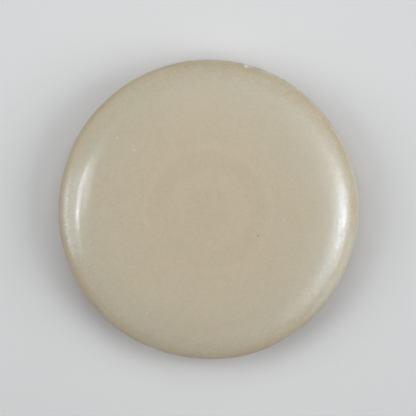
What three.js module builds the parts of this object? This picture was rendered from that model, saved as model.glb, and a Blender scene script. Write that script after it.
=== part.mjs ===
// Dealer button: a reversible, weighted table marker made of two moulded half shells that are
// bonded round the widest diameter, with a steel slug held on the axis of the cavity.
// Units are millimetres, +Z is up. The origin is the centre of the rear resting face, so the
// button occupies z = 0 (rear face) to z = THICKNESS (front face).
import * as THREE from "three";

// ---- outside ----
const DIAMETER = 50.8; // 2 in across the widest diameter
const THICKNESS = 9.5; // face to face, 3/8 in nominal
const FACE_FLAT_R = 13; // each face is dead flat out to this radius, then rolls off
const CROWN_POWER = 8; // how late the face rolls into the edge
const EDGE_POWER = 1.75; // how full the edge is at the parting plane
const SEAM_BEVEL = 0.15; // bevel on each shell at the parting plane
const EDGE_BAND = 0.35; // height of the upright band beside each seam bevel
const EDGE_R = DIAMETER / 2;
const PARTING_Z = THICKNESS / 2;

// Radii at which the roll-off is faceted, from the flat to just inside the seam bevel.
const ROLL_OFF_RADII = [16.5, 19.2, 21.0, 22.4, 23.5, 24.3, 24.85, 25.2];

// ---- cavity ----
const SKIN = 2; // thickness of the face skin
const CAVITY_R = 22; // inside radius of the edge wall
const CAVITY_FILLET = 1.5; // fillet between skin and edge wall
const FRONT_SKIN_Z = THICKNESS - SKIN; // underside of the front skin

// ---- tongue on the rear shell, groove in the front shell ----
const TONGUE_IN_R = 23;
const TONGUE_OUT_R = 24;
const TONGUE_HEIGHT = 0.9;
const BOND_SIDE_GAP = 0.12; // glue line on each side of the tongue
const BOND_TOP_GAP = 0.25; // glue reservoir over the tongue
const TONGUE_TOP = PARTING_Z + TONGUE_HEIGHT;
const GROOVE_IN_R = TONGUE_IN_R - BOND_SIDE_GAP;
const GROOVE_OUT_R = TONGUE_OUT_R + BOND_SIDE_GAP;
const GROOVE_TOP = TONGUE_TOP + BOND_TOP_GAP;

// ---- slug and the stack it sits in, from the rear skin up ----
const SLUG_R = 10;
const SLUG_THICKNESS = 3.5;
const SLUG_CHAMFER = 0.3;
const BOND_PAD_R = 8.5;
const BOND_PAD_THICKNESS = 0.25;
const DAMPING_PAD_R = 8;
const DAMPING_PAD_THICKNESS = 0.8; // as compressed
const BOND_PAD_TOP = SKIN + BOND_PAD_THICKNESS;
const SLUG_TOP = BOND_PAD_TOP + SLUG_THICKNESS;
const DAMPING_PAD_TOP = SLUG_TOP + DAMPING_PAD_THICKNESS;

// ---- ring ribs round the slug, one on each shell, and the tubular boss ----
const SLUG_CLEARANCE = 0.15; // radial, between slug and ribs
const SEAT_IN_R = SLUG_R + SLUG_CLEARANCE;
const SEAT_OUT_R = 11;
const SEAT_GAP = 0.3; // between the two ribs, centred on the parting plane
const REAR_SEAT_TOP = PARTING_Z - SEAT_GAP / 2;
const FRONT_SEAT_BOTTOM = PARTING_Z + SEAT_GAP / 2;
const BOSS_IN_R = 3.3; // the boss on the front shell bears on the damping pad
const BOSS_OUT_R = 6.9;

// ---- facets ----
const SEGMENTS = 96; // round every turned piece
const FILLET_STEPS = 3;

// ---- materials ----
const plastic = new THREE.MeshStandardMaterial({ color: 0xc9bea4, roughness: 0.34, metalness: 0 });
const steel = new THREE.MeshStandardMaterial({ color: 0xa9abad, roughness: 0.35, metalness: 1 });
const tape = new THREE.MeshStandardMaterial({ color: 0xe4e2da, roughness: 0.7, metalness: 0 });
const foam = new THREE.MeshStandardMaterial({ color: 0x3c3d3f, roughness: 0.95, metalness: 0 });
const glue = new THREE.MeshStandardMaterial({ color: 0xd6cba8, roughness: 0.25, metalness: 0 });

// ---- profiles: every point is [radius, z] ----

// Distance of the outer surface in from the plane of its face.
function rollOff(radius) {
  const fullness = 1 - Math.pow(radius / EDGE_R, CROWN_POWER);
  return PARTING_Z * (1 - Math.pow(fullness, 1 / EDGE_POWER));
}

// Outer surface of the rear shell, from the axis to the parting plane.
function outerRear() {
  return [
    [0, 0],
    [FACE_FLAT_R, 0],
    ...ROLL_OFF_RADII.map((radius) => [radius, rollOff(radius)]),
    [EDGE_R, PARTING_Z - SEAM_BEVEL - EDGE_BAND],
    [EDGE_R, PARTING_Z - SEAM_BEVEL],
    [EDGE_R - SEAM_BEVEL, PARTING_Z],
  ];
}

// The same surface mirrored in the parting plane, from there back to the axis.
function outerFront() {
  return outerRear()
    .map(([radius, z]) => [radius, THICKNESS - z])
    .reverse();
}

// Quarter fillet from the skin's inner side at skinZ out to the edge wall.
// side is +1 when the cavity lies above the skin, -1 when it lies below it.
function cavityFillet(skinZ, side) {
  return Array.from({ length: FILLET_STEPS + 1 }, (_, i) => {
    const angle = (i / FILLET_STEPS) * (Math.PI / 2);
    return [
      CAVITY_R - CAVITY_FILLET * (1 - Math.sin(angle)),
      skinZ + side * CAVITY_FILLET * (1 - Math.cos(angle)),
    ];
  });
}

// ---- solids ----

// Turned solid about Z. The lathe turns about Y, so the result is tipped up onto Z.
function turned(name, profile, material) {
  const points = profile.map(([radius, z]) => new THREE.Vector2(radius, z));
  const geometry = new THREE.LatheGeometry(points, SEGMENTS);
  geometry.rotateX(Math.PI / 2);
  const mesh = new THREE.Mesh(geometry, material);
  mesh.name = name;
  return mesh;
}

function disc(name, radius, bottom, top, material) {
  return turned(name, [[0, bottom], [radius, bottom], [radius, top], [0, top]], material);
}

// Face, edge wall, tongue and ring rib.
function rearShell() {
  const profile = [
    ...outerRear(),
    [TONGUE_OUT_R, PARTING_Z],
    [TONGUE_OUT_R, TONGUE_TOP],
    [TONGUE_IN_R, TONGUE_TOP],
    [TONGUE_IN_R, PARTING_Z],
    [CAVITY_R, PARTING_Z],
    ...cavityFillet(SKIN, 1).reverse(),
    [SEAT_OUT_R, SKIN],
    [SEAT_OUT_R, REAR_SEAT_TOP],
    [SEAT_IN_R, REAR_SEAT_TOP],
    [SEAT_IN_R, SKIN],
    [0, SKIN],
  ];
  return turned("rear_shell", profile, plastic);
}

// The same outside, with the boss, the matching ring rib and the groove.
function frontShell() {
  const profile = [
    [0, FRONT_SKIN_Z],
    [BOSS_IN_R, FRONT_SKIN_Z],
    [BOSS_IN_R, DAMPING_PAD_TOP],
    [BOSS_OUT_R, DAMPING_PAD_TOP],
    [BOSS_OUT_R, FRONT_SKIN_Z],
    [SEAT_IN_R, FRONT_SKIN_Z],
    [SEAT_IN_R, FRONT_SEAT_BOTTOM],
    [SEAT_OUT_R, FRONT_SEAT_BOTTOM],
    [SEAT_OUT_R, FRONT_SKIN_Z],
    ...cavityFillet(FRONT_SKIN_Z, -1),
    [CAVITY_R, PARTING_Z],
    [GROOVE_IN_R, PARTING_Z],
    [GROOVE_IN_R, GROOVE_TOP],
    [GROOVE_OUT_R, GROOVE_TOP],
    [GROOVE_OUT_R, PARTING_Z],
    ...outerFront(),
  ];
  return turned("front_shell", profile, plastic);
}

// Fills the groove over and beside the tongue; a closed loop clear of the axis.
function seamAdhesive() {
  const profile = [
    [GROOVE_IN_R, PARTING_Z],
    [TONGUE_IN_R, PARTING_Z],
    [TONGUE_IN_R, TONGUE_TOP],
    [TONGUE_OUT_R, TONGUE_TOP],
    [TONGUE_OUT_R, PARTING_Z],
    [GROOVE_OUT_R, PARTING_Z],
    [GROOVE_OUT_R, GROOVE_TOP],
    [GROOVE_IN_R, GROOVE_TOP],
    [GROOVE_IN_R, PARTING_Z],
  ];
  return turned("seam_adhesive", profile, glue);
}

// Chamfered on both rims.
function weightSlug() {
  const profile = [
    [0, BOND_PAD_TOP],
    [SLUG_R - SLUG_CHAMFER, BOND_PAD_TOP],
    [SLUG_R, BOND_PAD_TOP + SLUG_CHAMFER],
    [SLUG_R, SLUG_TOP - SLUG_CHAMFER],
    [SLUG_R - SLUG_CHAMFER, SLUG_TOP],
    [0, SLUG_TOP],
  ];
  return turned("weight_slug", profile, steel);
}

const button = new THREE.Group();
button.add(
  rearShell(),
  frontShell(),
  seamAdhesive(),
  weightSlug(),
  // Double-sided bond disc under the slug, soft disc between slug and boss.
  disc("slug_bond_pad", BOND_PAD_R, SKIN, BOND_PAD_TOP, tape),
  disc("damping_pad", DAMPING_PAD_R, SLUG_TOP, DAMPING_PAD_TOP, foam),
);

export default button;
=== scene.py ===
# The looks of a dealer button: a weighted disc of two cream half shells glued at a parting plane.
#
# It lies flat on z = 0 with its axis on Z; the front face looks up (+Z) and the rear one down.
# Every CAD solid is stood for by a finer mesh of the same piece, inside the same box. The shells
# carry a trimmed and chipped seam, a scuffed shoulder, faint sink rings and a browned edge; some
# of
# their colour is painted light: a sheen on the shoulder and seam, glints on the scuff, shade at
# the edge.
# "Left" and "right" are -X and +X, "upper" and "lower" are +Y and -Y, as seen from above.
# The builders work in millimetres; meshes and materials are in metres.
import math

import bpy
import numpy as np
from mathutils import Matrix, Vector


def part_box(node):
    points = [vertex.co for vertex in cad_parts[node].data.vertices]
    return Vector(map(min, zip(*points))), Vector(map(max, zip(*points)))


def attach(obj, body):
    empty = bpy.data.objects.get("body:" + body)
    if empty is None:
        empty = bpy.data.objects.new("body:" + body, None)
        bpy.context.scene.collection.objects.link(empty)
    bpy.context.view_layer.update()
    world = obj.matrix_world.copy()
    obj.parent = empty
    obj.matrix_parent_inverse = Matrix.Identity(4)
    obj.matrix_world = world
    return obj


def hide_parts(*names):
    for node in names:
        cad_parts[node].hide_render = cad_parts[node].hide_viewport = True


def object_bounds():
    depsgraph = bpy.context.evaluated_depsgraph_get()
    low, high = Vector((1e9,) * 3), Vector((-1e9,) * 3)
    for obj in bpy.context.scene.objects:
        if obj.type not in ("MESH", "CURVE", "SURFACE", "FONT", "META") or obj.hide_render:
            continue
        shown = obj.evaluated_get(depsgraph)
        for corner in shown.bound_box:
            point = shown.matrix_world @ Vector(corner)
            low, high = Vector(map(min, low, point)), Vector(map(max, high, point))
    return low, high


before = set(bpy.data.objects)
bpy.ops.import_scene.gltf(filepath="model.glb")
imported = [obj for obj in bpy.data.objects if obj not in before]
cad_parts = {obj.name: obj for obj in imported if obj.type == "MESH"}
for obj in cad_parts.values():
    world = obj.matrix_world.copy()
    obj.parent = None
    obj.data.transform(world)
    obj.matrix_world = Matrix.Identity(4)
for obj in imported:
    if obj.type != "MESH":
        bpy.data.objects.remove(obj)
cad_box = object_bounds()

MM = 0.001


def box_mm(node):
    low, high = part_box(node)
    return np.array(low) / MM, np.array(high) / MM


# ---------------------------------------------------------------- sizes, read from the frame
LOW, HIGH = np.array(cad_box[0]) / MM, np.array(cad_box[1]) / MM
RADIUS = (HIGH[0] - LOW[0]) / 2
RADIUS_M = RADIUS * MM
THICK = HIGH[2] - LOW[2]
PARTING = THICK / 2  # height of the parting plane
TONGUE_TOP = box_mm("rear_shell")[1][2]
SEAM_HIGH = box_mm("seam_adhesive")[1]
SLUG_LOW, SLUG_HIGH = box_mm("weight_slug")
BOND_LOW, BOND_HIGH = box_mm("slug_bond_pad")
PAD_LOW, PAD_HIGH = box_mm("damping_pad")

# ---------------------------------------------------------------- sizes inside the shells
SKIN = BOND_LOW[2]  # wall thickness under each face
CEILING = THICK - SKIN  # inside of the front face
CAVITY_R = 22.0
SEAT_IN, SEAT_OUT = SLUG_HIGH[0] + 0.15, SLUG_HIGH[0] + 1.0  # ribs round the slug
REAR_SEAT_TOP, FRONT_SEAT_BOTTOM = 4.6, 4.9
BOSS_IN, BOSS_OUT = 3.3, 6.9  # ring that presses on the foam
TONGUE_IN, TONGUE_OUT = 23.0, 24.0
GLUE = SEAM_HIGH[0] - TONGUE_OUT  # glue line beside the tongue
GROOVE_IN, GROOVE_OUT = TONGUE_IN - GLUE, TONGUE_OUT + GLUE
GROOVE_TOP = SEAM_HIGH[2]

BODY_RADIUS = RADIUS - 0.045  # mean radius; the swollen spots reach the CAD box
EDGE_STEP = 0.055  # how much smaller the front shell is where the two meet
SEAM_BEVEL = 0.12
MENISCUS = 0.03  # rise of the glue surface beside the tongue


def smooth(start, end, x):
    t = np.clip((np.asarray(x, float) - start) / (end - start), 0, 1)
    return t * t * (3 - 2 * t)


# ---------------------------------------------------------------- repeatable noise
def lattice(ix, iy, iz, seed):
    key = (
        ix.astype(np.int64) * 374761393
        + iy.astype(np.int64) * 668265263
        + iz.astype(np.int64) * 2147483647
        + seed * 1274126177
    )
    key = (key ^ (key >> 13)) * 1274126177
    key = key ^ (key >> 16)
    return (key & 0xFFFFF) / float(0xFFFFF) * 2 - 1


def noise(points, cell_size, seed):
    """Smooth value noise in -1..1 at points (n, 3)."""
    scaled = np.asarray(points, float) / cell_size
    cell = np.floor(scaled).astype(int)
    part = scaled - cell
    part = part * part * (3 - 2 * part)
    total = 0
    for i in (0, 1):
        for j in (0, 1):
            for k in (0, 1):
                weight = (
                    (part[:, 0] if i else 1 - part[:, 0])
                    * (part[:, 1] if j else 1 - part[:, 1])
                    * (part[:, 2] if k else 1 - part[:, 2])
                )
                corner = lattice(cell[:, 0] + i, cell[:, 1] + j, cell[:, 2] + k, seed)
                total = total + weight * corner
    return total


# ---------------------------------------------------------------- turned pieces
def add_object(name, data):
    added = bpy.data.objects.new(name, data)
    bpy.context.scene.collection.objects.link(added)
    return added


def signed_volume(mesh):
    mesh.calc_loop_triangles()
    places = np.zeros(len(mesh.vertices) * 3)
    mesh.vertices.foreach_get("co", places)
    corners = np.zeros(len(mesh.loop_triangles) * 3, np.int32)
    mesh.loop_triangles.foreach_get("vertices", corners)
    tri = places.reshape(-1, 3)[corners.reshape(-1, 3)]
    return np.einsum("ij,ij->i", tri[:, 0], np.cross(tri[:, 1], tri[:, 2])).sum() / 6


def turned(name, profile, angles, shape):
    """A closed solid of revolution about Z from (r, z) points.

    The profile has both ends on the axis, or else closes on itself.
    shape(points, radii, profile_index, angles) returns the moved points and a dict of
    point attributes.
    """
    profile = np.array(profile, float)
    on_axis = profile[0][0] < 1e-9 and profile[-1][0] < 1e-9
    rings = profile[1:-1] if on_axis else profile
    ring_count, around = len(rings), len(angles)
    radii = np.repeat(rings[:, 0], around)
    heights = np.repeat(rings[:, 1], around)
    turns = np.tile(angles, ring_count)
    index = np.repeat(np.arange(ring_count) + (1 if on_axis else 0), around)
    points = np.stack([radii * np.cos(turns), radii * np.sin(turns), heights], 1)
    if on_axis:
        points = np.vstack([points, [[0, 0, profile[0][1]], [0, 0, profile[-1][1]]]])
        radii = np.append(radii, [0, 0])
        turns = np.append(turns, [0, 0])
        index = np.append(index, [0, len(profile) - 1])
    points, attributes = shape(points, radii, index, turns)

    here = np.arange(around)
    after = (here + 1) % around
    faces = []
    for i in range(ring_count - 1 if on_axis else ring_count):
        near, far = i * around, (i + 1) % ring_count * around
        quads = np.stack([near + here, near + after, far + after, far + here], 1)
        faces.extend(quads.tolist())
    if on_axis:
        start = ring_count * around
        last = start - around
        faces.extend((start, b, a) for a, b in zip(here.tolist(), after.tolist()))
        faces.extend(
            (start + 1, last + a, last + b) for a, b in zip(here.tolist(), after.tolist())
        )

    mesh = bpy.data.meshes.new(name)
    mesh.from_pydata((points * MM).tolist(), [], faces)
    mesh.update()
    if signed_volume(mesh) < 0:
        mesh.flip_normals()
    for key, values in attributes.items():
        attribute = mesh.attributes.new(key, "FLOAT", "POINT")
        attribute.data.foreach_set("value", np.asarray(values, np.float32))
    mesh.polygons.foreach_set("use_smooth", np.ones(len(mesh.polygons), bool))
    mesh.set_sharp_from_angle(angle=math.radians(35))
    return add_object(name, mesh)


def divided(start, end, step):
    """Points from start to end, both included, no further apart than step."""
    (r0, z0), (r1, z1) = start, end
    count = max(1, math.ceil(math.hypot(r1 - r0, z1 - z0) / step))
    return [start] + [
        (r0 + (r1 - r0) * i / count, z0 + (z1 - z0) * i / count) for i in range(1, count + 1)
    ]


def round_corners(outline, steps=3):
    """The (r, z) points of an outline of (r, z, corner radius) rows whose corners are square."""
    points = [np.array(row[:2], float) for row in outline]
    rounded = [tuple(points[0])]
    for i in range(1, len(points) - 1):
        radius = outline[i][2]
        before, corner, after = points[i - 1 : i + 2]
        if radius == 0:
            rounded.append(tuple(corner))
            continue
        back, ahead = before - corner, after - corner
        back_length, ahead_length = np.linalg.norm(back), np.linalg.norm(ahead)
        cut = min(radius, back_length * 0.49, ahead_length * 0.49)
        enter = corner + back / back_length * cut
        leave = corner + ahead / ahead_length * cut
        for step in range(steps + 1):
            t = step / steps
            arc = (1 - t) ** 2 * enter + 2 * t * (1 - t) * corner + t * t * leave
            rounded.append(tuple(arc))
    rounded.append(tuple(points[-1]))
    return rounded


def dense_angles():
    """Angles round the disc, closer together where most of the chips are."""
    degrees = [0.0]
    while degrees[-1] < 360 - 0.2:
        degrees.append(degrees[-1] + (0.24 if 38 <= degrees[-1] < 88 else 0.55))
    degrees = np.array(degrees)
    degrees = degrees / degrees[-1] * 360
    return np.radians(degrees[:-1])


def even_angles(count):
    return np.arange(count) / count * 2 * math.pi


# ---------------------------------------------------------------- the outside of a half shell
def drop(r):
    """Depth of the outer surface below its face at radius r: flat, then a superellipse."""
    share = np.minimum(np.asarray(r, float) / RADIUS, 1)
    depth = PARTING * (1 - (1 - share**8) ** (1 / 1.75))
    return depth * smooth(7, 15, r)


def on_skin(x, y, is_front):
    """The point of the outer surface over (x, y), in mm."""
    depth = float(drop(min(math.hypot(x, y) * RADIUS / BODY_RADIUS, RADIUS)))
    return (x, y, THICK - depth if is_front else depth)


def outer_curve(edge_step):
    """(r, depth below the face) from the axis to the parting plane, evenly spaced at the edge."""
    nominal = 25.4  # the radius that the sample stations below are laid out for
    edge = 25 + (nominal - 25) * (1 - (1 - np.linspace(0, 1, 2000)[1:]) ** 3)
    radii = np.concatenate([np.linspace(18, 25, 400), edge]) / nominal * RADIUS
    depths = drop(radii)
    above_bevel = depths <= PARTING - SEAM_BEVEL
    radii, depths = radii[above_bevel], depths[above_bevel]
    run = np.concatenate([[0], np.cumsum(np.hypot(np.diff(radii), np.diff(depths)))])
    marks = [0.0]
    while marks[-1] < run[-1] - 0.05:
        r = np.interp(marks[-1], run, radii)
        marks.append(marks[-1] + (0.42 if r < 21.5 else 0.26 if r < 23.2 else 0.125))
    marks[-1] = run[-1]
    curve = [(float(r), float(drop(r))) for r in np.linspace(0, 18, 13)[:-1]]
    curve += zip(np.interp(marks, run, radii).tolist(), np.interp(marks, run, depths).tolist())
    # short bevel into the parting plane; shares of its width: (inward, still to go down)
    last_r = curve[-1][0] - edge_step * 0.4
    for inward, left in ((0.18, 0.62), (0.55, 0.25), (1, 0)):
        curve.append((last_r - SEAM_BEVEL * inward, PARTING - SEAM_BEVEL * left))
    return curve


# Chips and dents along the seam: azimuth (deg), height above the parting plane,
# half length round the rim, half height, depth (mm), power (lower is steeper)
FRONT_CHIPS = [
    (75.2, 1.30, 0.40, 0.60, 0.085, 0.6),
    (74.0, 0.95, 0.52, 0.42, 0.06, 0.7),
    (72.0, 0.30, 0.62, 0.40, 0.045, 0.8),
    (69.9, 0.20, 0.50, 0.34, 0.05, 0.8),
    (75.7, 0.15, 0.55, 0.40, 0.04, 0.8),
    (79.9, 0.20, 0.55, 0.42, 0.09, 0.6),
    (68.3, 0.22, 0.34, 0.50, 0.10, 0.6),
    (64.1, 0.15, 0.42, 0.38, 0.08, 0.7),
    (60.2, 0.12, 0.26, 0.26, 0.06, 0.7),
    (53.3, 0.30, 0.32, 0.60, 0.12, 0.55),
    (50.3, 0.10, 0.50, 0.28, 0.06, 0.8),
    (45.0, 0.18, 0.62, 0.45, 0.10, 0.7),
    (41.5, 0.10, 0.25, 0.24, 0.06, 0.7),
    (33.0, 0.10, 0.22, 0.22, 0.05, 0.8),
    (83.5, 0.90, 0.13, 0.15, 0.06, 0.8),
    (118.0, 0.10, 0.28, 0.22, 0.05, 0.8),
    (146.0, 0.12, 0.20, 0.26, 0.05, 0.8),
    (203.0, 0.10, 0.26, 0.20, 0.05, 0.8),
    (255.0, 0.12, 0.90, 0.45, 0.05, 1.2),
    (262.0, 0.10, 0.25, 0.25, 0.05, 0.8),
    (312.0, 0.12, 0.30, 0.25, 0.06, 0.7),
    (338.0, 0.10, 0.20, 0.20, 0.05, 0.8),
]
REAR_CHIPS = [
    (75.6, -0.35, 0.38, 0.60, 0.05, 0.7),
    (66.5, -0.15, 0.45, 0.35, 0.07, 0.7),
    (54.0, -0.25, 0.40, 0.50, 0.10, 0.6),
    (46.0, -0.15, 0.50, 0.35, 0.07, 0.7),
    (12.0, -0.12, 0.30, 0.22, 0.05, 0.8),
    (104.0, -0.30, 0.20, 0.30, 0.06, 0.7),
    (161.0, -0.15, 0.25, 0.25, 0.05, 0.8),
    (219.0, -0.40, 0.30, 0.55, 0.07, 0.7),
    (248.0, -0.12, 0.70, 0.40, 0.05, 1.1),
    (287.0, -0.20, 0.22, 0.28, 0.06, 0.7),
    (322.0, -0.15, 0.34, 0.25, 0.05, 0.8),
]

# Swollen and worn stretches of the edge: azimuth (deg), width (deg), height (mm)
EDGE_SWELLS = [
    (200, 24, 0.075),
    (255, 19, -0.135),
    (290, 13, 0.065),
    (12, 26, 0.03),
    (110, 40, -0.015),
]


def degrees_from(angles, azimuth):
    """Signed distance of each angle from an azimuth, in degrees."""
    return (np.degrees(angles) - azimuth + 180) % 360 - 180


def out_of_round(angles):
    """How far the edge stands from a true circle, in mm."""
    swell = sum(
        height * np.exp(-((degrees_from(angles, azimuth) / width) ** 2))
        for azimuth, width, height in EDGE_SWELLS
    )
    return swell + 0.006 * np.sin(5 * angles + 0.7) + 0.004 * np.sin(9 * angles + 2.1)


def edge_dents(chips, angles, points):
    """Depth of chipping at each point, and a mask of freshly broken surface."""
    depth = np.zeros(len(angles))
    fresh = np.zeros(len(angles))
    ragged = 1 + 0.28 * noise(points, 0.32, 5) + 0.16 * noise(points, 0.14, 6)
    height = points[:, 2] - PARTING
    for azimuth, middle, half_length, half_height, deepest, power in chips:
        along = np.radians(degrees_from(angles, azimuth)) * RADIUS
        away = (along / half_length) ** 2 + ((height - middle) / half_height) ** 2
        inside = np.clip(1 - away * ragged, 0, 1)
        depth = np.maximum(depth, deepest * inside**power)
        broken = np.minimum(1, inside * 4) * min(1, deepest / 0.085) ** 1.6
        fresh = np.maximum(fresh, broken)
    return depth, fresh


def shell_wear(side, outer_count, chips, edge_step, seed):
    """The shape function of a shell; side is +1 for the front and -1 for the rear.

    The outer skin is the first outer_count profile points, and only it is moved.
    """

    def wear(points, radii, index, angles):
        outer = index < outer_count
        height = (points[:, 2] - PARTING) * side
        rim = smooth(0.80 * RADIUS, 0.985 * RADIUS, radii)
        shrink = (BODY_RADIUS - RADIUS) * smooth(0.5 * RADIUS, RADIUS, radii)
        outward = shrink + out_of_round(angles) * rim
        # the two halves never meet edge to edge: the step wanders round the seam
        wander = 0.5 + 0.5 * np.sin(2 * angles + 0.6 + seed) * np.cos(angles * 3 + seed)
        outward -= edge_step * (0.55 + 0.45 * wander) * smooth(1.6, 0.2, height) * rim
        # long, shallow waves in the shoulder, along its normal
        wave = 0.010 * noise(points, 3.4, 21 + seed) + 0.005 * noise(points, 1.3, 22 + seed)
        wave = wave * smooth(0.62 * RADIUS, 0.86 * RADIUS, radii)
        normal_r = smooth(0.84 * RADIUS, 0.99 * RADIUS, radii)
        normal_z = np.sqrt(np.clip(1 - normal_r**2, 0, 1)) * side
        depth, fresh = edge_dents(chips, angles, points)
        outward = (outward + normal_r * wave - depth) * outer
        moved = points.copy()
        moved[:, 0] += np.cos(angles) * outward
        moved[:, 1] += np.sin(angles) * outward
        moved[:, 2] += normal_z * wave * outer * smooth(0.0, 0.35, height)
        # sink over the rib and boss radii: a few microns on the face
        sink = -0.004 * np.exp(-(((radii - 10.6) / 0.8) ** 2))
        sink = sink - 0.003 * np.exp(-(((radii - 5.1) / 2.2) ** 2))
        moved[:, 2] += np.where(outer & (radii < 20), sink * side, 0)
        # stay in the CAD box
        moved[:, :2] = np.clip(moved[:, :2], -RADIUS, RADIUS)
        moved[:, 2] = np.clip(moved[:, 2], 0, THICK)
        # the front shell is scuffed along its left shoulder; the shader paints the band's glints
        # into its pale colour
        scuff_and_glint = np.zeros(len(angles))
        if side > 0:
            scuff_and_glint = np.exp(-((degrees_from(angles, 182) / 17.0) ** 4))
            scuff_and_glint = scuff_and_glint * np.exp(-(((radii - 0.943 * RADIUS) / 0.42) ** 2))
        return moved, {"fresh": fresh * outer, "scuff_and_glint": scuff_and_glint * outer}

    return wear


# ---------------------------------------------------------------- the two half shells
# Insides from the seam to the axis: r, z, corner radius
FRONT_INSIDE = [
    (GROOVE_OUT, PARTING, 0),
    (GROOVE_OUT, GROOVE_TOP, 0.06),
    (GROOVE_IN, GROOVE_TOP, 0.06),
    (GROOVE_IN, PARTING, 0),
    (CAVITY_R, PARTING, 0.08),
    (CAVITY_R, CEILING, 1.5),
    (SEAT_OUT, CEILING, 0.25),
    (SEAT_OUT, FRONT_SEAT_BOTTOM, 0.12),
    (SEAT_IN, FRONT_SEAT_BOTTOM, 0.12),
    (SEAT_IN, CEILING, 0.25),
    (BOSS_OUT, CEILING, 0.25),
    (BOSS_OUT, PAD_HIGH[2], 0.15),
    (BOSS_IN, PAD_HIGH[2], 0.15),
    (BOSS_IN, CEILING, 0.25),
    (0, CEILING, 0),
]
REAR_INSIDE = [
    (TONGUE_OUT, PARTING, 0),
    (TONGUE_OUT, TONGUE_TOP, 0.12),
    (TONGUE_IN, TONGUE_TOP, 0.12),
    (TONGUE_IN, PARTING, 0.05),
    (CAVITY_R, PARTING, 0.08),
    (CAVITY_R, SKIN, 1.5),
    (SEAT_OUT, SKIN, 0.25),
    (SEAT_OUT, REAR_SEAT_TOP, 0.12),
    (SEAT_IN, REAR_SEAT_TOP, 0.12),
    (SEAT_IN, SKIN, 0.25),
    (0, SKIN, 0),
]


def front_shell():
    outer = [(r, THICK - depth) for r, depth in outer_curve(EDGE_STEP)]
    wear = shell_wear(
        side=+1, outer_count=len(outer), chips=FRONT_CHIPS, edge_step=EDGE_STEP, seed=0
    )
    profile = outer + round_corners(FRONT_INSIDE)
    return turned("front_shell_moulding", profile, dense_angles(), wear)


def rear_shell():
    outer = outer_curve(0.0)
    wear = shell_wear(side=-1, outer_count=len(outer), chips=REAR_CHIPS, edge_step=0.0, seed=3)
    profile = outer + round_corners(REAR_INSIDE)
    return turned("rear_shell_moulding", profile, even_angles(640), wear)


# ---------------------------------------------------------------- the pieces inside
def seam_bond():
    """Adhesive that fills the groove round the tongue, with an uneven meniscus."""
    profile = [
        (GROOVE_IN, PARTING),
        (TONGUE_IN - GLUE * 0.5, PARTING + MENISCUS),
        (TONGUE_IN, PARTING),
        (TONGUE_IN, TONGUE_TOP - 0.07),
        (TONGUE_IN + 0.07, TONGUE_TOP),
        (TONGUE_OUT - 0.07, TONGUE_TOP),
        (TONGUE_OUT, TONGUE_TOP - 0.07),
        (TONGUE_OUT, PARTING),
        (TONGUE_OUT + GLUE * 0.5, PARTING + MENISCUS),
        (GROOVE_OUT, PARTING),
        (GROOVE_OUT, GROOVE_TOP - 0.05),
        (GROOVE_OUT - 0.05, GROOVE_TOP),
        (GROOVE_IN + 0.05, GROOVE_TOP),
        (GROOVE_IN, GROOVE_TOP - 0.05),
    ]

    def wander(points, radii, index, angles):
        moved = points.copy()
        crest = np.abs(points[:, 2] - PARTING - MENISCUS) < 0.001
        moved[:, 2] += np.where(crest, 0.9 * MENISCUS * (1 + noise(points, 1.7, 41)), 0)
        return moved, {}

    return turned("seam_adhesive_bead", profile, even_angles(480), wander)


def slug():
    """Steel blank: centre pop mark, turning rings, rolled-over top edge, torn band on its side."""
    r, bottom, top = SLUG_HIGH[0], SLUG_LOW[2], SLUG_HIGH[2]
    profile = [(0, top - 0.10), (0.22, top - 0.085), (0.42, top - 0.02), (0.55, top - 0.004)]
    x = 0.8
    while x < r - 0.75:
        groove = (0.5 + 0.5 * math.sin(x * 11.0)) * (0.4 + 0.6 * math.sin(x * 1.7) ** 2)
        profile.append((x, top - 0.004 - 0.006 * groove))
        x += 0.14
    # rolled edge and the smooth land below it: (in from the side, down from the top)
    rolled = [
        (0.62, 0.006), (0.4, 0.03), (0.22, 0.09), (0.09, 0.19), (0.02, 0.34), (0, 0.5),
        (0, 1.1), (0.012, 1.25),
    ]
    profile += [(r - inward, top - down) for inward, down in rolled]
    profile += divided((r - 0.03, top - 1.32), (r - 0.035, bottom + 0.55), step=0.16)
    # rounded foot: (in from the side, up from the bottom)
    foot = [(0.03, 0.34), (0.1, 0.2), (0.2, 0.08), (0.34, 0.01), (0.5, 0), (2.0, 0)]
    profile += [(r - inward, bottom + up) for inward, up in foot]
    profile += [(r * 0.5, bottom), (0, bottom)]

    def tear(points, radii, index, angles):
        moved = points.copy()
        z = points[:, 2]
        torn = (radii > r - 0.06) & (z < top - 1.2) & (z > bottom + 0.3)
        rough = np.abs(noise(points, 0.22, 51)) * 0.03 * torn
        moved[:, 0] -= np.cos(angles) * rough
        moved[:, 1] -= np.sin(angles) * rough
        return moved, {"torn": torn.astype(float)}

    return turned("weight_slug_blank", profile, even_angles(360), tear)


def bond_film():
    """Double-sided film with a slightly bulging edge and a wavy top."""
    r, bottom, top = BOND_HIGH[0], BOND_LOW[2], BOND_HIGH[2]
    middle = (bottom + top) / 2
    profile = [(0, top)] + [(x, top) for x in np.arange(0.5, r - 0.2, 0.5)]
    profile += [(r - 0.08, top - 0.006), (r - 0.03, top - 0.035), (r - 0.004, top - 0.09)]
    profile += [(r, middle), (r - 0.004, bottom + 0.09)]
    profile += [(r - 0.03, bottom + 0.035), (r - 0.08, bottom + 0.006)]
    profile += [(x, bottom) for x in np.arange(r - 0.5, 0.4, -0.5)] + [(0, bottom)]

    def waves(points, radii, index, angles):
        moved = points.copy()
        upper = (points[:, 2] > middle) & (radii < r - 0.05)
        moved[:, 2] -= np.where(upper, 0.008 * (0.5 + 0.5 * noise(points, 0.9, 61)), 0)
        return moved, {}

    return turned("slug_bond_film", profile, even_angles(300), waves)


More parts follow.
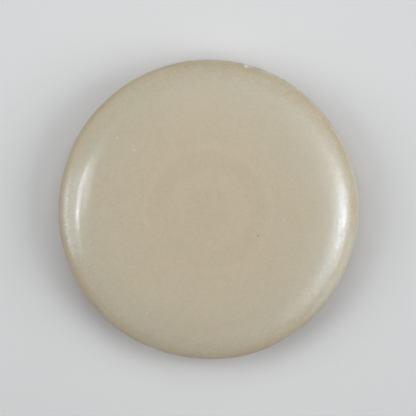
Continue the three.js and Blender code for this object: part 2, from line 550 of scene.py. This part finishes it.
def damping_disc():
    """Foam disc: bellied edge, open cells on top, flattened where the boss squeezes it."""
    r, bottom, top = PAD_HIGH[0], PAD_LOW[2], PAD_HIGH[2]
    middle = (bottom + top) / 2
    profile = [(0, top)] + [(x, top) for x in np.arange(0.16, r - 0.25, 0.16)]
    profile += [(r - 0.16, top - 0.02), (r - 0.07, top - 0.10), (r - 0.015, middle + 0.16)]
    profile += [(r, middle), (r - 0.015, middle - 0.16)]
    profile += [(r - 0.07, bottom + 0.10), (r - 0.16, bottom + 0.02)]
    profile += [(x, bottom) for x in np.arange(r - 0.3, 0.15, -0.4)] + [(0, bottom)]

    def cells(points, radii, index, angles):
        moved = points.copy()
        upper = (points[:, 2] > middle + 0.2) & (radii < r - 0.2)
        squeezed = (radii > BOSS_IN - 0.25) & (radii < BOSS_OUT + 0.25)
        pores = np.clip(noise(points, 0.34, 71) - 0.15, 0, 1) * 0.10
        pores = pores + np.clip(noise(points, 0.8, 72), 0, 1) * 0.04
        moved[:, 2] -= np.where(upper, pores * np.where(squeezed, 0.25, 1.0), 0)
        belly = np.where(radii > r - 0.2, 0.025 * (noise(points, 1.1, 73) - 1), 0)
        moved[:, 0] += np.cos(angles) * belly
        moved[:, 1] += np.sin(angles) * belly
        return moved, {}

    return turned("damping_foam_disc", profile, even_angles(300), cells)


# ---------------------------------------------------------------- material helpers
class Field:
    """An output socket that does its arithmetic with Math nodes."""

    def __init__(self, graph, socket):
        self.graph, self.socket = graph, socket

    def __add__(self, other):
        return self.graph.math("ADD", self, other)

    def __sub__(self, other):
        return self.graph.math("SUBTRACT", self, other)

    def __rsub__(self, other):
        return self.graph.math("SUBTRACT", other, self)

    def __mul__(self, other):
        return self.graph.math("MULTIPLY", self, other)

    def __truediv__(self, other):
        return self.graph.math("DIVIDE", self, other)

    def remap(self, over, to=(0.0, 1.0)):
        """Smooth step from to[0] at over[0] to to[1] at over[1]."""
        return self.graph.field(
            "ShaderNodeMapRange",
            dict(enumerate((self, *over, *to))),
            interpolation_type="SMOOTHSTEP",
            clamp=True,
        )


class Graph:
    """A node material; place is the object position. Texture sizes are in mm."""

    def __init__(self, name):
        self.mat = bpy.data.materials.new(name)
        self.mat.use_nodes = True
        self.tree = self.mat.node_tree
        self.shader = self.tree.nodes["Principled BSDF"]
        self.place = self.field("ShaderNodeTexCoord", output="Object")

    def put(self, socket, value):
        if isinstance(value, Field):
            self.tree.links.new(value.socket, socket)
        elif isinstance(value, tuple) and len(value) == 3 and socket.type == "RGBA":
            socket.default_value = (*value, 1)
        else:
            socket.default_value = value

    def node(self, kind, inputs, **settings):
        added = self.tree.nodes.new(kind)
        for key, setting in settings.items():
            setattr(added, key, setting)
        for key, value in inputs.items():
            self.put(added.inputs[key], value)
        return added

    def field(self, kind, inputs={}, output=0, **settings):
        return Field(self, self.node(kind, inputs, **settings).outputs[output])

    def math(self, operation, first, second=0.0, clamp=False):
        inputs = {0: first, 1: second, 2: 0.0}
        return self.field("ShaderNodeMath", inputs, operation=operation, use_clamp=clamp)

    def mix(self, colour, toward, share, blend="MIX"):
        return self.field(
            "ShaderNodeMix",
            {0: share, 6: colour, 7: toward},
            output=2,
            data_type="RGBA",
            blend_type=blend,
            clamp_factor=True,
        )

    def shade(self, colour, level):
        """The colour multiplied by a grey level."""
        grey = self.field("ShaderNodeCombineColor", {0: level, 1: level, 2: level})
        return self.mix(colour, toward=grey, share=1.0, blend="MULTIPLY")

    def noise(self, size, detail=2.0, rough=0.5, distortion=0.0, at=None):
        inputs = {
            "Vector": at or self.place,
            "Scale": 1 / (size * MM),
            "Detail": detail,
            "Roughness": rough,
            "Distortion": distortion,
        }
        return self.field("ShaderNodeTexNoise", inputs, output="Fac")

    def cells(self, size):
        inputs = {"Vector": self.place, "Scale": 1 / (size * MM)}
        return self.field("ShaderNodeTexVoronoi", inputs, output="Distance", feature="F1")

    def ramp(self, share, stops):
        """Colour ramp through (position, colour or grey) stops."""
        added = self.node("ShaderNodeValToRGB", {0: share})
        elements = added.color_ramp.elements
        while len(elements) > 1:
            elements.remove(elements[-1])
        for i, (position, value) in enumerate(stops):
            element = elements.new(position) if i else elements[0]
            element.position = position
            element.color = (*value, 1) if isinstance(value, tuple) else (value,) * 3 + (1,)
        return Field(self, added.outputs[0])

    def bump(self, height, depth, strength=1.0, normal=None):
        inputs = {"Strength": strength, "Distance": depth * MM, "Height": height}
        if normal:
            inputs["Normal"] = normal
        return self.field("ShaderNodeBump", inputs)

    def attribute(self, name):
        return self.field(
            "ShaderNodeAttribute", output="Fac", attribute_type="GEOMETRY", attribute_name=name
        )

    def spot(self, centre, radius):
        """1 well inside a spot at a point in mm, 0 outside."""
        inputs = {0: self.place, 1: tuple(v * MM for v in centre)}
        away = self.field("ShaderNodeVectorMath", inputs, output="Value", operation="DISTANCE")
        return away.remap(over=(radius * MM, radius * MM * 0.35))

    def set(self, **values):
        for key, value in values.items():
            self.put(self.shader.inputs[key.replace("_", " ")], value)
        return self.mat


# ---------------------------------------------------------------- the cream plastic
# Share of the radius, colour: the cream body, made paler and greyer to the shoulder by a painted
# sheen, and tan at the seam, which is partly real browning and partly painted shade
BODY_COLOURS_SHEEN_AND_SHADE = [
    (0.00, (0.573, 0.443, 0.282)),
    (0.30, (0.577, 0.446, 0.289)),
    (0.42, (0.577, 0.450, 0.296)),
    (0.65, (0.571, 0.455, 0.304)),
    (0.80, (0.558, 0.452, 0.306)),
    (0.88, (0.574, 0.472, 0.327)),
    (0.93, (0.600, 0.484, 0.328)),
    (0.965, (0.573, 0.443, 0.268)),
    (1.00, (0.458, 0.336, 0.190)),
]
# Share of the radius, tone (0.5 is neutral): faint steps over the rib and boss behind the skin
TONE_STEPS = [
    (0.00, 0.4920), (0.08, 0.4890), (0.12, 0.4850), (0.16, 0.5150),
    (0.25, 0.5210), (0.29, 0.4840), (0.33, 0.4820), (0.37, 0.4860),
    (0.40, 0.5150), (0.422, 0.5260), (0.443, 0.5010), (0.48, 0.5050),
    (0.52, 0.5030), (0.58, 0.4980), (0.66, 0.5000), (1.00, 0.5000),
]
# Specks on each face: x, y, radius (mm); dark ones are dirty pinholes, pale ones inclusions
FRONT_DARK = [
    (8.25, -4.41, 0.22), (2.85, 24.50, 0.20), (15.0, 19.86, 0.20),
    (-3.1, 9.9, 0.10), (12.4, -15.2, 0.12),
]
FRONT_PALE = [
    (-15.25, 12.02, 0.21), (-12.36, 9.96, 0.18), (-10.30, -17.32, 0.21), (5.3, 13.2, 0.12),
    (15.0, -5.04, 0.15), (-19.22, -6.37, 0.14), (-20.10, -9.15, 0.13),
]
REAR_DARK = [(-6.2, 7.1, 0.16), (11.4, 3.3, 0.12), (3.2, -14.9, 0.14), (-16.0, -6.1, 0.10)]
REAR_PALE = [(9.9, -9.1, 0.16), (-12.0, 12.2, 0.14), (1.8, 17.1, 0.12)]


class Cream(Graph):
    """Aged cream plastic; radius is the distance from the axis as a share of RADIUS."""

    def __init__(self, name):
        super().__init__(name)
        axes = self.node("ShaderNodeSeparateXYZ", {0: self.place}).outputs
        self.x, self.y, self.z = (Field(self, socket) for socket in axes)
        squares = self.x * self.x + self.y * self.y
        self.radius = self.math("SQRT", squares) / RADIUS_M
        self.fine = self.noise(size=0.52, detail=3, rough=0.6)
        self.mottle = self.noise(size=0.66, detail=3, rough=0.62)
        self.left = self.per_radius(self.x).remap(over=(0.1, -0.75))
        # freshly broken edges, and the scuffed band with its lacy pattern, whose pale colour is a
        # painted highlight
        self.fresh = self.attribute("fresh")
        self.scuff_and_glint = self.attribute("scuff_and_glint")
        stretch = {"Vector": self.place, "Scale": (0.6, 1.35, 0.45)}
        stretched = self.field("ShaderNodeMapping", stretch)
        self.scuff_noise = self.noise(
            size=0.36, detail=4, rough=0.75, distortion=0.4, at=stretched
        )
        lace = self.scuff_and_glint * self.scuff_noise.remap(over=(0.41, 0.62))
        self.lace = lace * self.noise(size=1.3).remap(over=(0.3, 0.6), to=(0.45, 1.0))

    def along(self, x_part, y_part):
        """Distance from the axis along a direction in the XY plane."""
        return self.x * x_part + self.y * y_part

    def per_radius(self, length):
        """A length over the point's own distance from the axis: the cosine of its direction."""
        return length / self.math("MAXIMUM", self.radius * RADIUS_M, 1e-6)

    def body(self):
        """Colour by radius, holding a painted sheen on the shoulder and partly painted shade at
        the edge, with tone steps, slow cloudiness and fine grain.
        """
        cloud = self.noise(size=9.0, detail=3, rough=0.55)
        grain = self.noise(size=0.17, detail=1)
        fleck = self.noise(size=1.1)
        # the steps are uneven round the circle and weakest at the lower left
        lower_left = self.per_radius(self.along(-0.616, -0.788))
        strength = lower_left.remap(over=(0.70, 0.96), to=(1.08, 0.45))
        strength = strength * self.noise(size=3.2).remap(over=(0.30, 0.70), to=(0.60, 1.40))
        level = (self.ramp(self.radius, TONE_STEPS) - 0.5) * strength + 0.5
        for texture, weight in ((cloud, 0.05), (fleck, 0.08), (self.fine, 0.17), (grain, 0.10)):
            level = level + (texture - 0.5) * weight
        contrast = 1.0
        level = (level - 0.5) * contrast + 1.0
        return self.shade(self.ramp(self.radius, BODY_COLOURS_SHEEN_AND_SHADE), level)

    def seam_wear_and_light(self, colour):
        """Flanks browned and darkened by painted shade, a painted sheen on the lower right, grime
        in the seam, a rubbed upper right with a painted bright line at the seam.
        """
        seam = self.math("ABSOLUTE", self.z - PARTING * MM)
        patchy = self.noise(size=1.1, detail=4, rough=0.62)
        right = self.along(0.87, 0.5) / RADIUS_M
        # partly pale wear and partly a painted highlight: the band at the seam on the upper right
        # stands in for the bright line the rim catches
        rubbed_and_rim_glint = seam.remap(over=(2.1 * MM, 0.9 * MM)) * right.remap(over=(0.15, 0.65))
        flank = self.math("ABSOLUTE", self.per_radius(self.x))
        # partly real browning, partly painted shade: the edge is darkened on its left and right
        # flanks, where the side lamps fall on it
        browned_and_shaded = self.radius.remap(over=(0.952, 0.985)) * flank.remap(over=(0.45, 0.85))
        # painted sheen: the paler patch on the lower right of the edge stands in for the highlight
        # that spreads there
        lower_right = self.along(0.883, -0.469) / RADIUS_M
        lower_right_sheen = lower_right.remap(over=(0.87, 0.955)) * self.radius.remap(over=(0.915, 0.95))
        lower_right_sheen = lower_right_sheen * self.radius.remap(over=(0.990, 0.965))
        browned_and_shaded = browned_and_shaded * (1.0 - lower_right_sheen)
        browned_and_shaded = browned_and_shaded * right.remap(over=(0.30, 0.80), to=(1.0, 0.25))
        grime = seam.remap(over=(0.22 * MM, 0.02 * MM)) * patchy.remap(over=(0.42, 0.62))
        rubbed_and_rim_glint = rubbed_and_rim_glint * patchy.remap(over=(0.3, 0.7), to=(0.34, 0.24))
        colour = self.mix(colour, toward=(0.36, 0.255, 0.145), share=browned_and_shaded * 0.30)
        colour = self.mix(colour, toward=(0.84, 0.82, 0.76), share=lower_right_sheen * 0.20)
        colour = self.mix(colour, toward=(0.30, 0.22, 0.13), share=grime * 0.55)
        return self.mix(colour, toward=(0.86, 0.76, 0.60), share=rubbed_and_rim_glint)

    def shoulder_wear_and_glints(self, colour):
        """Pale broken edges, scuffs paled by painted glints, mottling that is a painted highlight
        texture, and nicks mostly on the upper right.
        """
        colour = self.mix(colour, toward=(0.80, 0.77, 0.70), share=self.fresh * 0.85)
        # painted highlight: the pale scuff band stands in for glints of a low lamp on the left
        scuff_glint = (self.lace + self.scuff_and_glint * 0.38) * 0.76
        colour = self.mix(colour, toward=(0.87, 0.82, 0.74), share=scuff_glint)
        # painted highlight: the shoulder's tone is mottled to stand in for the broken-up highlight
        sheen_dapple = self.mottle.remap(over=(0.42, 0.58)) - 0.5
        sheen_dapple = sheen_dapple * self.radius.remap(over=(0.80, 0.88), to=(0.0, -0.07))
        colour = self.shade(colour, sheen_dapple + 1.0)
        upper_right = self.along(0.68, 0.73) / RADIUS_M
        nicks = self.noise(size=0.27, rough=0.6).remap(over=(0.57, 0.66))
        nicks = nicks * self.noise(size=2.2).remap(over=(0.47, 0.60))
        nicks = nicks * self.radius.remap(over=(0.915, 0.95))
        nicks = nicks * upper_right.remap(over=(0.1, 0.85), to=(0.12, 1.0))
        return self.mix(colour, toward=(0.84, 0.79, 0.69), share=nicks * 0.55)

    def specks(self, colour, dark, pale, is_front):
        """The colour with its specks, and a mask of the dark ones, which are pits."""
        pits = None
        for x, y, radius in dark:
            spot = self.spot(on_skin(x, y, is_front), radius)
            colour = self.mix(colour, toward=(0.30, 0.20, 0.09), share=spot * 0.60)
            pits = self.math("MAXIMUM", pits, spot) if pits else spot
        for x, y, radius in pale:
            spot = self.spot(on_skin(x, y, is_front), radius)
            colour = self.mix(colour, toward=(0.86, 0.83, 0.76), share=spot * 0.45)
        return colour, pits

    def coat_roughness(self):
        """Satin, smeared by handling and smoother on the left."""
        smear = (self.noise(size=2.6, detail=4, rough=0.6, distortion=0.6) - 0.5) * 0.05
        satin, left_polish, roughest = 0.258, 0.103, 0.268
        return self.math("MINIMUM", (satin - self.left * left_polish) + smear, roughest)

    def coat_weight(self):
        """Gloss, lost where the skin is broken, dulled by scuffs, mottling and at the seam."""
        gloss = 1.0 - self.fresh * 0.85
        gloss = gloss - self.lace * 0.30
        mottle = self.mottle.remap(over=(0.34, 0.66))
        gloss = gloss - mottle * self.radius.remap(over=(0.74, 0.86), to=(0.0, 0.50))
        seam_loss = self.radius.remap(over=(0.93, 0.98)) * 0.25
        return self.math("SUBTRACT", gloss, seam_loss, clamp=True)

    def relief(self, pits):
        """Orange peel, grain, scuffs and pits, then hairline scratches."""
        peel = self.noise(size=0.85, detail=3, rough=0.6)
        height = (peel - 0.5) * self.radius.remap(over=(0.78, 0.92), to=(0.12, 1.0))
        grain = (self.fine - 0.5) * self.radius.remap(over=(0.78, 0.92), to=(0.08, 1.0))
        height = (height + grain) * (1.0 - self.left * 0.85)
        height = height + (self.scuff_noise - 0.5) * (self.scuff_and_glint * 0.75)
        normal = self.bump(height - pits * 0.65, depth=0.044)

        drift = {"Vector": self.place, "Scale": 60}
        drift = self.field("ShaderNodeTexNoise", drift, output="Color")
        drift = {0: drift, "Scale": 0.012}
        drift = self.field("ShaderNodeVectorMath", drift, operation="SCALE")
        warped = {0: self.place, 1: drift}
        warped = self.field("ShaderNodeVectorMath", warped, operation="ADD")
        wave = self.field(
            "ShaderNodeTexWave",
            {"Vector": warped, "Scale": 90, "Distortion": 2.0},
            output="Fac",
            wave_type="BANDS",
            bands_direction="DIAGONAL",
            wave_profile="SIN",
        )
        hairs = wave.remap(over=(0.9985, 1.0)) * self.noise(size=5.0).remap(over=(0.5, 0.62))
        return self.bump(hairs * -1.0, depth=0.003, strength=0.6, normal=normal)


def moulded_cream(name, dark, pale, is_front):
    g = Cream(name)
    colour = g.shoulder_wear_and_glints(g.seam_wear_and_light(g.body()))
    colour, pits = g.specks(colour, dark, pale, is_front)
    normal = g.relief(pits)
    return g.set(
        Base_Color=colour,
        Roughness=g.math("ADD", g.fresh * 0.2, 0.55, clamp=True),
        IOR=1.5,
        Subsurface_Weight=1.0,
        Subsurface_Radius=(1.0, 0.72, 0.42),
        Subsurface_Scale=0.0014,
        Normal=normal,
        Coat_Weight=g.coat_weight(),
        Coat_Roughness=g.coat_roughness(),
        Coat_IOR=1.62,
        Coat_Normal=normal,
    )


# ---------------------------------------------------------------- the other materials
def blanked_steel():
    g = Graph("slug_zinc_plated_steel")
    fine = g.noise(size=0.12)
    torn = g.attribute("torn")
    spangle = g.noise(size=1.4, detail=3, rough=0.6)
    stain = g.noise(size=3.4, detail=4, rough=0.6).remap(over=(0.58, 0.72))
    colour = g.ramp(spangle, [(0.3, (0.50, 0.51, 0.53)), (0.7, (0.66, 0.66, 0.66))])
    colour = g.mix(colour, toward=(0.40, 0.33, 0.25), share=stain * 0.5)
    colour = g.mix(colour, toward=(0.30, 0.29, 0.28), share=torn * 0.5)
    return g.set(
        Base_Color=colour,
        Metallic=1.0,
        Roughness=fine.remap(over=(0.2, 0.8), to=(0.26, 0.40)) + torn * 0.25,
        Normal=g.bump(fine, depth=0.004),
    )


def bond_paper():
    g = Graph("bond_film_clear_adhesive")
    scrim = g.noise(size=0.25, detail=3, rough=0.6)
    return g.set(
        Base_Color=g.ramp(scrim, [(0.3, (0.66, 0.64, 0.56)), (0.7, (0.80, 0.79, 0.73))]),
        Roughness=scrim.remap(over=(0.3, 0.7), to=(0.5, 0.72)),
        Subsurface_Weight=0.3,
        Subsurface_Scale=0.0006,
        Normal=g.bump(scrim, depth=0.01),
    )


def foam():
    g = Graph("damping_foam_charcoal")
    cell = g.cells(size=0.28)
    greys = [
        (0.0, (0.018, 0.018, 0.02)),
        (0.45, (0.05, 0.052, 0.056)),
        (0.8, (0.075, 0.077, 0.08)),
    ]
    return g.set(
        Base_Color=g.ramp(cell, greys),
        Roughness=cell.remap(over=(0.1, 0.7), to=(0.98, 0.8)),
        Normal=g.bump(cell, depth=0.05),
    )


def adhesive():
    g = Graph("seam_adhesive_cured")
    haze = g.noise(size=0.9, detail=3, rough=0.6)
    bubbles = g.cells(size=0.7).remap(over=(0.16, 0.10))
    colour = g.ramp(haze, [(0.3, (0.58, 0.47, 0.27)), (0.7, (0.70, 0.61, 0.40))])
    return g.set(
        Base_Color=g.mix(colour, toward=(0.85, 0.8, 0.66), share=bubbles * 0.5),
        Roughness=haze.remap(over=(0.3, 0.7), to=(0.12, 0.28)),
        Subsurface_Weight=0.6,
        Subsurface_Scale=0.0008,
        Normal=g.bump(bubbles, depth=0.03),
    )


# ---------------------------------------------------------------- the pieces
front_cream = moulded_cream("front_shell_cream", FRONT_DARK, FRONT_PALE, is_front=True)
rear_cream = moulded_cream("rear_shell_cream", REAR_DARK, REAR_PALE, is_front=False)

# piece, material, the CAD node it stands for, slot
PIECES = [
    (front_shell(), front_cream, "front_shell", "shell_plastic"),
    (rear_shell(), rear_cream, "rear_shell", "shell_plastic"),
    (seam_bond(), adhesive(), "seam_adhesive", "cured_adhesive"),
    (slug(), blanked_steel(), "weight_slug", "slug_steel"),
    (bond_film(), bond_paper(), "slug_bond_pad", "bond_film"),
    (damping_disc(), foam(), "damping_pad", "soft_foam"),
]
for piece, material, node, slot in PIECES:
    piece.data.materials.append(material)
    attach(piece, "root")
    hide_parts(node)

# ---------------------------------------------------------------- stage
FLOOR_COLOUR = (0.70, 0.63, 0.565)
BACKDROP = (0.80, 0.80, 0.79)  # what the camera sees
AMBIENT = (0.085, 0.092, 0.10)  # what lights the button
LIGHT_COLOURS = {"matt": (0.88, 1.0, 1.13), "gloss": (0.86, 1.0, 1.14)}
# name, zenith and azimuth (deg), distance, width along the zenith arc, height along the
# azimuth (m), twist (deg), watts, the kind of reflection it is for
LIGHTS = [
    ("fill_left", 50, 180, 0.50, 0.30, 0.40, 0, 1.345, "matt"),
    ("fill_right", 52, -7, 0.50, 0.30, 0.40, 0, 1.74, "matt"),
    ("fill_top", 23, 93, 0.125, 0.10, 0.10, 0, 0.0635, "matt"),
    ("right_core", 54.5, -3, 0.50, 0.22, 0.145, 0, 1.02, "gloss"),
    ("right_wing", 51.5, -4, 0.50, 0.27, 0.42, 0, 0.62, "gloss"),
    ("right_inner", 34, -6, 0.50, 0.20, 0.30, 0, 0.18, "gloss"),
    ("right_low", 50, -34, 0.50, 0.24, 0.26, 0, 0.25, "gloss"),
    ("right_high", 50, 30, 0.50, 0.24, 0.26, 0, 0.14, "gloss"),
    ("right_outer", 67, -4, 0.50, 0.12, 0.50, 0, 0.36, "gloss"),
    ("left_core", 42.3, 174.5, 0.60, 0.075, 0.20, 22, 0.385, "gloss"),
    ("left_hot", 45, 182.5, 0.60, 0.040, 0.060, 22, 0.085, "gloss"),
    ("left_patch", 31.5, 168.5, 0.60, 0.14, 0.145, -12, 0.185, "gloss"),
    ("left_skirt", 58, 180, 0.60, 0.26, 0.34, 0, 0.56, "gloss"),
    ("top_sheen", 30, 58, 0.50, 0.36, 0.42, 0, 0.22, "gloss"),
]


def floor_material():
    """Pale floor that runs out into the backdrop far from the button."""
    g = Graph("stage_floor_pale")
    darker = tuple(c * 0.985 for c in FLOOR_COLOUR)
    colour = g.ramp(g.noise(size=60), [(0.3, darker), (0.7, FLOOR_COLOUR)])
    g.set(Base_Color=colour, Roughness=0.85, Specular_IOR_Level=0.2)
    away = g.field("ShaderNodeVectorMath", {0: g.place}, output="Value", operation="LENGTH")
    seen = g.field("ShaderNodeLightPath", output="Is Camera Ray")
    surfaces = {
        0: away.remap(over=(0.10, 0.42)) * seen,
        1: Field(g, g.shader.outputs[0]),
        2: g.field("ShaderNodeEmission", {"Color": BACKDROP}),
    }
    blend = g.field("ShaderNodeMixShader", surfaces)
    g.put(g.tree.nodes["Material Output"].inputs["Surface"], blend)
    return g.mat


def stage_floor():
    """A round sheet just under the button."""
    around, radii = 96, [0.05, 0.2, 0.6, 1.5, 3.0]
    turns = [2 * math.pi * k / around for k in range(around)]
    verts = [(0, 0, 0)]
    verts += [(r * math.cos(turn), r * math.sin(turn), 0) for r in radii for turn in turns]
    faces = [(0, 1 + k, 1 + (k + 1) % around) for k in range(around)]
    for i in range(len(radii) - 1):
        near, far = 1 + i * around, 1 + (i + 1) * around
        for k in range(around):
            after = (k + 1) % around
            faces.append((near + k, far + k, far + after, near + after))
    mesh = bpy.data.meshes.new("stage_floor")
    mesh.from_pydata(verts, [], faces)
    mesh.update()
    floor = add_object("stage_floor", mesh)
    mesh.materials.append(floor_material())
    floor.location = (0, 0, -0.00002)


def soft_light(name, zenith, azimuth, distance, width, height, twist, watts, kind):
    data = bpy.data.lights.new(name, "AREA")
    data.shape, data.size, data.size_y = "RECTANGLE", width, height
    data.energy, data.color = watts, LIGHT_COLOURS[kind]
    lamp = add_object(name, data)
    tilt, turn, roll = math.radians(zenith), math.radians(azimuth), math.radians(twist)
    toward = Vector(
        (math.sin(tilt) * math.cos(turn), math.sin(tilt) * math.sin(turn), math.cos(tilt))
    )
    across = Vector((-math.sin(turn), math.cos(turn), 0))
    along = across.cross(toward)
    cos, sin = math.cos(roll), math.sin(roll)
    across, along = across * cos + along * sin, along * cos - across * sin
    lamp.location = toward * distance + Vector((0, 0, PARTING * MM))
    lamp.rotation_mode = "QUATERNION"
    lamp.rotation_quaternion = Matrix((along, across, toward)).transposed().to_quaternion()
    lamp.visible_camera = False
    lamp.visible_glossy = kind == "gloss"
    lamp.visible_diffuse = kind == "matt"


def soft_world():
    world = bpy.data.worlds.new("studio")
    bpy.context.scene.world = world
    world.use_nodes = True
    nodes, link = world.node_tree.nodes, world.node_tree.links.new
    seen = nodes["Background"]
    seen.inputs[0].default_value = (*BACKDROP, 1)
    light = nodes.new("ShaderNodeBackground")
    light.inputs[0].default_value = (*AMBIENT, 1)
    mix = nodes.new("ShaderNodeMixShader")
    path = nodes.new("ShaderNodeLightPath")
    link(path.outputs["Is Camera Ray"], mix.inputs[0])
    link(light.outputs[0], mix.inputs[1])
    link(seen.outputs[0], mix.inputs[2])
    link(mix.outputs[0], nodes["World Output"].inputs["Surface"])


def overhead_camera():
    """Looks straight down on the front face."""
    data = bpy.data.cameras.new("overhead")
    camera = add_object("overhead", data)
    data.lens, data.sensor_width = 250.0, 36.0
    half_view = BODY_RADIUS * MM * 1.386667  # half the frame's width, with a margin
    distance = half_view * data.lens / (data.sensor_width / 2)
    camera.location = (0, 0, distance + PARTING * MM)
    camera.rotation_euler = (0, 0, 0)
    # shares of the frame's width that set the button a little off centre
    data.shift_x = -0.001274038
    data.shift_y = 0.003870192
    bpy.context.scene.camera = camera


stage_floor()
for light in LIGHTS:
    soft_light(*light)
soft_world()
overhead_camera()
bpy.context.scene.view_settings.view_transform = "Standard"
